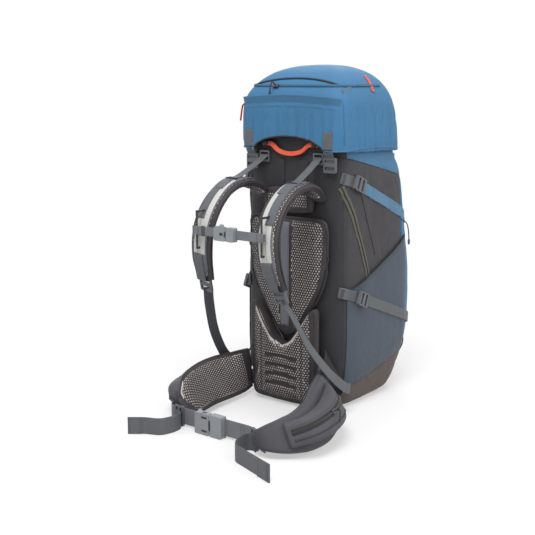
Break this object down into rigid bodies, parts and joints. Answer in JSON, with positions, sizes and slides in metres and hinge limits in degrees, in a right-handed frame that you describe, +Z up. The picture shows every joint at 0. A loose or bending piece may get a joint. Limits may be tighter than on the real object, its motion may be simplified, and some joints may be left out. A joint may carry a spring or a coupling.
{
  "type": "trekking backpack",
  "caption": "Tall top-loading trekking backpack with a padded harness, buckled sternum strap, hip belt with zipped pockets, stretch side pockets and a hinged top lid with a zipped pocket.",
  "frame": {"origin": "centre of the flat base, on the floor", "axes": "+Z up, -Y the harness and hip belt side that meets the wearer's back, +Y the pack's front, X across"},
  "size_m": [0.4915, 0.779, 0.777],
  "materials": {
    "black_plastic": "moulded, satin",
    "black_zip": "zip tape with coil teeth",
    "blue_cord": "braided elastic cord",
    "blue_fabric": "woven, slightly shiny coated nylon",
    "blue_webbing": "ribbed webbing",
    "brown_fabric": "heavy coated weave",
    "dark_webbing": "ribbed webbing",
    "grey_fabric": "dark grey woven nylon",
    "grey_plastic": "moulded, fine matte texture",
    "grey_webbing": "ribbed webbing",
    "light_blue_fabric": "light woven nylon",
    "light_grey_fabric": "light grey woven facing",
    "light_plastic": "moulded, fine matte texture",
    "mesh_fabric": "open spacer mesh over foam",
    "olive_zip": "zip tape with coil teeth",
    "orange_cord": "braided cord",
    "stay_metal": "bare aluminium rod",
    "stretch_fabric": "slate stretch knit",
    "white_sheet": "smooth plastic sheet",
    "zip_metal": "dark painted zip slider"
  },
  "bodies": {
    "pack": {"base_panel": "brown_fabric", "rear_panel": "grey_fabric", "front_panel": "blue_fabric", "side_panel_left": "grey_fabric", "side_panel_right": "grey_fabric", "collar": "light_blue_fabric", "frame_sheet": "white_sheet", "frame_stays": "stay_metal", "hydration_sleeve": "grey_fabric", "draw_cord": "blue_cord", "cord_lock": "black_plastic", "side_pocket_left": "stretch_fabric", "side_pocket_right": "stretch_fabric", "front_pocket": "blue_fabric", "compression_straps": "blue_webbing", "side_zips": "olive_zip", "upper_pad": "mesh_fabric", "lumbar_pad": "mesh_fabric", "torso_webbings": "grey_webbing", "haul_sleeves": "grey_webbing", "ladder_locks": "grey_plastic", "lid_anchor_webbings": "grey_webbing", "front_sockets": "light_plastic", "gear_cords": "blue_cord"},
    "lock_button": {"cord_lock_button": "grey_plastic"},
    "haul": {"haul_loop": "orange_cord"},
    "lid": {"lid_shell": "blue_fabric", "lid_floor": "grey_fabric", "lid_zip": "black_zip", "lid_straps": "grey_webbing", "front_plugs": "light_plastic"},
    "lid_slider": {"lid_zip_slider": "zip_metal", "lid_pull": "orange_cord"},
    "harness": {"harness_yoke": "mesh_fabric", "shoulder_strap_left": "mesh_fabric", "shoulder_strap_right": "mesh_fabric", "strap_facings": "light_grey_fabric", "strap_webbings": "grey_webbing", "strap_locks": "grey_plastic", "sternum_rails": "black_plastic", "harness_webbings": "dark_webbing"},
    "sternum": {"sternum_clips": "grey_plastic", "sternum_webbings": "grey_webbing", "sternum_buckle_female": "light_plastic"},
    "sternum_plug": {"sternum_buckle_male": "light_plastic"},
    "belt": {"belt_plate": "dark_webbing", "hip_wing_left": "mesh_fabric", "hip_wing_right": "mesh_fabric", "hip_pocket_left": "grey_fabric", "hip_pocket_right": "grey_fabric", "hip_zips": "black_zip", "hip_adjusters": "grey_plastic", "hip_webbing_left": "dark_webbing", "hip_webbing_right": "dark_webbing", "hip_buckle_female": "grey_plastic"},
    "belt_plug": {"hip_buckle_male": "grey_plastic"},
    "belt_slider_right": {"hip_slider_right": "zip_metal", "hip_pull_right": "orange_cord"},
    "belt_slider_left": {"hip_slider_left": "zip_metal", "hip_pull_left": "orange_cord"}
  },
  "joints": [
    {"name": "lid_hinge", "type": "hinge", "parent": "pack", "child": "lid", "pos_m": [0, -0.13, 0.59], "axis": [1, 0, 0], "range_deg": [0, 90]},
    {"name": "lid_zip_slide", "type": "slide", "parent": "lid", "child": "lid_slider", "axis": [1, 0, 0], "range_m": [-0.02, 0.08]},
    {"name": "haul_swing", "type": "hinge", "parent": "pack", "child": "haul", "pos_m": [0, -0.1195, 0.602], "axis": [-1, 0, 0], "range_deg": [0, 80]},
    {"name": "cord_lock_press", "type": "slide", "parent": "pack", "child": "lock_button", "axis": [0, 0, -1], "range_m": [0, 0.0035], "stiffness_N_per_m": 300, "springref_m": -0.003},
    {"name": "harness_height", "type": "slide", "parent": "pack", "child": "harness", "axis": [0, 0, 1], "range_m": [0, 0.035], "deforming": ["harness_webbings"]},
    {"name": "sternum_height", "type": "slide", "parent": "harness", "child": "sternum", "axis": [0, 0, 1], "range_m": [-0.018, 0.018]},
    {"name": "sternum_release", "type": "slide", "parent": "sternum", "child": "sternum_plug", "axis": [1, 0, 0], "range_m": [0, 0.022]},
    {"name": "belt_lift", "type": "hinge", "parent": "pack", "child": "belt", "pos_m": [0, -0.119, 0.04], "axis": [-1, 0, 0], "range_deg": [0, 12]},
    {"name": "belt_release", "type": "slide", "parent": "belt", "child": "belt_plug", "axis": [1, 0, 0], "range_m": [0, 0.028]},
    {"name": "pocket_zip_right", "type": "slide", "parent": "belt", "child": "belt_slider_right", "axis": [0.1785, -0.9797, -0.0913], "range_m": [-0.02, 0.02]},
    {"name": "pocket_zip_left", "type": "slide", "parent": "belt", "child": "belt_slider_left", "axis": [-0.0423, -0.9897, -0.1371], "range_m": [-0.02, 0.02]}
  ]
}
